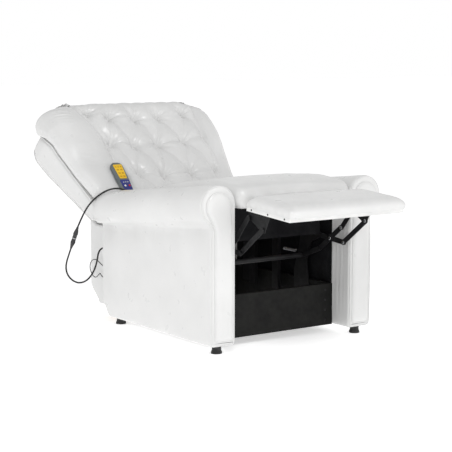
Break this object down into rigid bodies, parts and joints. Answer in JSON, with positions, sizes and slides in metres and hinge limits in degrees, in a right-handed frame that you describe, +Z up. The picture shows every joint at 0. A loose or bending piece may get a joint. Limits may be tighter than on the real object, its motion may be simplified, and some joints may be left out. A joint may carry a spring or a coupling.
{
  "type": "reclining salon chair",
  "caption": "Reclining salon armchair with tufted back, rolled arms, folding padded footrest and a corded massage handset.",
  "frame": {"origin": "on the floor below the middle of the chair, reclined with its footrest out, cords left out", "axes": "+Z up, +Y from the footrest to the back, +X to the sitter's left"},
  "size_m": [0.9131, 1.6229, 0.8787],
  "materials": {
    "white_leather": "semi-gloss coated leatherette",
    "frame_wood": "raw",
    "black_board": "painted",
    "white_board": "painted",
    "glide_black": "moulded",
    "spring_steel": "bright",
    "felt": "felt",
    "black_steel": "satin black",
    "bright_steel": "zinc plated",
    "motor_black": "moulded",
    "cord_black": "satin",
    "handset_grey": "moulded",
    "handset_blue": "glossy",
    "handset_yellow": "printed membrane",
    "button_white": "glossy",
    "button_red": "glossy"
  },
  "bodies": {
    "root": {"arm_cover_left": "white_leather", "arm_cover_right": "white_leather", "arm_frame_left": "frame_wood", "arm_frame_right": "frame_wood", "arm_panel_left": "white_leather", "arm_panel_right": "white_leather", "base_board_front": "black_board", "base_board_rear": "black_board", "base_board_left": "black_board", "base_board_right": "black_board", "glides": "glide_black", "seat_rail_front": "black_board", "seat_rail_rear": "frame_wood", "seat_rail_left": "frame_wood", "seat_rail_right": "frame_wood", "seat_springs": "spring_steel", "seat_deck": "felt", "seat_cushion": "white_leather", "seat_posts": "black_steel", "mechanism_plate_left": "black_steel", "mechanism_plate_right": "black_steel", "tension_springs": "spring_steel", "hinge_brackets": "black_steel", "skirt_cheek_left": "white_leather", "skirt_cheek_right": "white_leather", "skirt_back": "white_leather", "skirt_floor": "frame_wood", "control_box": "motor_black", "cord_glands": "motor_black", "cord_upper": "cord_black", "cord_lower": "cord_black", "cord_connector": "motor_black", "thin_lead": "cord_black"},
    "lower_links": {"lower_links": "black_steel"},
    "cross_links": {"cross_links": "black_steel"},
    "upper_links": {"upper_links": "black_steel"},
    "tie_links": {"tie_links": "black_steel"},
    "rockers": {"rockers": "black_steel", "drive_tube": "bright_steel"},
    "footrest": {"footrest_board": "white_board", "footrest_pad": "white_leather", "footrest_brackets": "black_steel"},
    "back": {"back_cushion": "white_leather", "bolster_left": "white_leather", "bolster_right": "white_leather", "back_shell": "white_leather", "back_post_left": "frame_wood", "back_post_right": "frame_wood", "back_rail_low": "frame_wood", "back_rail_top": "frame_wood", "back_springs": "spring_steel", "massage_motors": "motor_black", "back_arms": "black_steel", "handset_body": "handset_grey", "handset_panel": "handset_blue", "handset_keypad": "handset_yellow", "handset_lead": "cord_black"},
    "button_white": {"button_white": "button_white"},
    "button_red": {"button_red": "button_red"}
  },
  "joints": [
    {"name": "footrest_fold", "type": "hinge", "parent": "root", "child": "lower_links", "pos_m": [0, -0.31627, 0.385], "axis": [1, 0, 0], "range_deg": [0, 73.9]},
    {"name": "cross_link_turn", "type": "hinge", "parent": "lower_links", "child": "cross_links", "pos_m": [0, -0.39845, 0.37767], "axis": [1, 0, 0], "range_deg": [-116.7, 0]},
    {"name": "upper_link_turn", "type": "hinge", "parent": "lower_links", "child": "upper_links", "pos_m": [0, -0.48062, 0.37033], "axis": [1, 0, 0], "range_deg": [-116.7, 0]},
    {"name": "footrest_turn", "type": "hinge", "parent": "upper_links", "child": "footrest", "pos_m": [0, -0.61291, 0.46894], "axis": [1, 0, 0], "range_deg": [0, 128.8]},
    {"name": "tie_link_turn", "type": "hinge", "parent": "cross_links", "child": "tie_links", "pos_m": [0, -0.46459, 0.42697], "axis": [1, 0, 0], "range_deg": [0, 40.01]},
    {"name": "rocker_turn", "type": "hinge", "parent": "root", "child": "rockers", "pos_m": [0, -0.22542, 0.29074], "axis": [1, 0, 0], "range_deg": [0, 56.59]},
    {"name": "back_recline", "type": "hinge", "parent": "root", "child": "back", "pos_m": [0, 0.16573, 0.44], "axis": [1, 0, 0], "range_deg": [0, 33]},
    {"name": "button_white_press", "type": "slide", "parent": "back", "child": "button_white", "axis": [0, 0.7071, -0.7071], "range_m": [0, 0.0012], "stiffness_N_per_m": 300},
    {"name": "button_red_press", "type": "slide", "parent": "back", "child": "button_red", "axis": [0, 0.7071, -0.7071], "range_m": [0, 0.0012], "stiffness_N_per_m": 300}
  ],
  "couplings": [
    {"joint": "cross_link_turn", "follows": "footrest_fold", "ratio": -1.5724},
    {"joint": "upper_link_turn", "follows": "footrest_fold", "ratio": -1.5724},
    {"joint": "footrest_turn", "follows": "footrest_fold", "ratio": 1.7361},
    {"joint": "tie_link_turn", "follows": "footrest_fold", "ratio": 0.53457},
    {"joint": "rocker_turn", "follows": "footrest_fold", "ratio": 0.75899}
  ]
}
